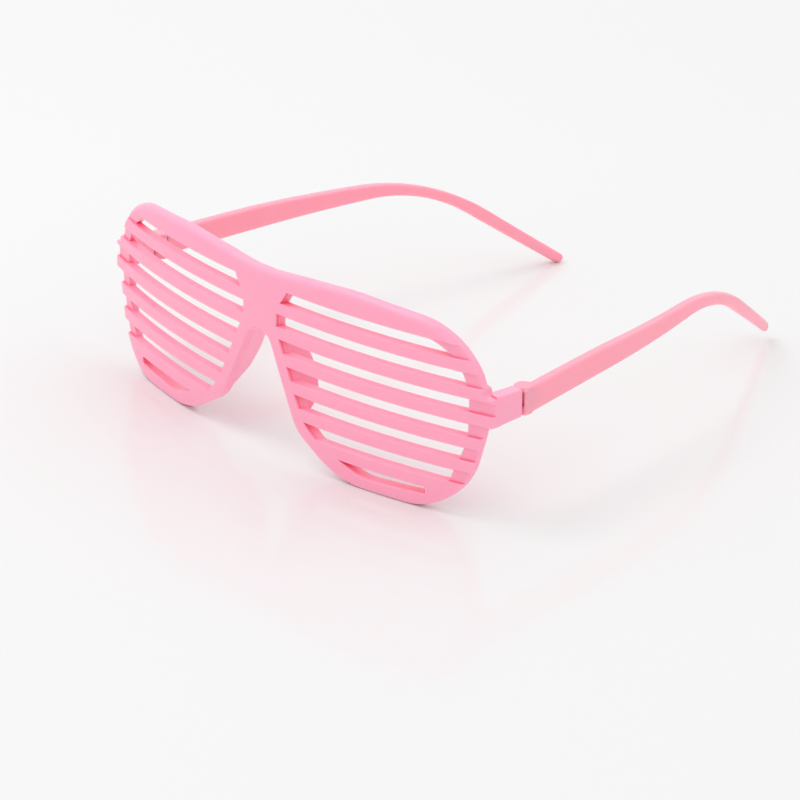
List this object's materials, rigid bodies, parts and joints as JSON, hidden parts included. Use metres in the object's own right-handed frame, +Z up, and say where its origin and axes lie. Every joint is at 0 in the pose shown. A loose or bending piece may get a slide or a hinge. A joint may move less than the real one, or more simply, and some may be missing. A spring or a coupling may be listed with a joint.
{
  "type": "party glasses",
  "caption": "One-colour plastic party glasses with horizontal slats in place of lenses, a curved aviator-shaped front and two folding temples bent down behind the ears.",
  "frame": {"origin": "under the middle of the whole object with its temples open, on the surface that the rims' feet and the temples' tips rest on", "axes": "+Z up; the front faces -Y, so the temples run towards +Y; +X is the wearer's left"},
  "size_m": [0.1378, 0.143, 0.0478],
  "materials": {
    "front_plastic": "smooth moulded pink plastic with a soft gloss, rounded edges",
    "temple_plastic": "smooth moulded pink plastic with a soft gloss, rounded edges",
    "pin_plastic": "smooth moulded pink plastic rod"
  },
  "bodies": {
    "front": {"front_frame": "front_plastic", "nose_pad_left": "front_plastic", "nose_pad_right": "front_plastic", "end_piece_left": "front_plastic", "end_piece_right": "front_plastic", "left_slat_1": "front_plastic", "left_slat_2": "front_plastic", "left_slat_3": "front_plastic", "left_slat_4": "front_plastic", "left_slat_5": "front_plastic", "left_slat_6": "front_plastic", "right_slat_1": "front_plastic", "right_slat_2": "front_plastic", "right_slat_3": "front_plastic", "right_slat_4": "front_plastic", "right_slat_5": "front_plastic", "right_slat_6": "front_plastic"},
    "left_temple": {"temple_left": "temple_plastic", "hinge_pin_left": "pin_plastic"},
    "right_temple": {"temple_right": "temple_plastic", "hinge_pin_right": "pin_plastic"}
  },
  "joints": [
    {"name": "left_temple_fold", "type": "hinge", "parent": "front", "child": "left_temple", "pos_m": [0.0663, -0.04778, 0.028], "axis": [0, 0, 1], "range_deg": [-15, 80]},
    {"name": "right_temple_fold", "type": "hinge", "parent": "front", "child": "right_temple", "pos_m": [-0.0663, -0.04778, 0.028], "axis": [0, 0, -1], "range_deg": [-15, 72]}
  ]
}
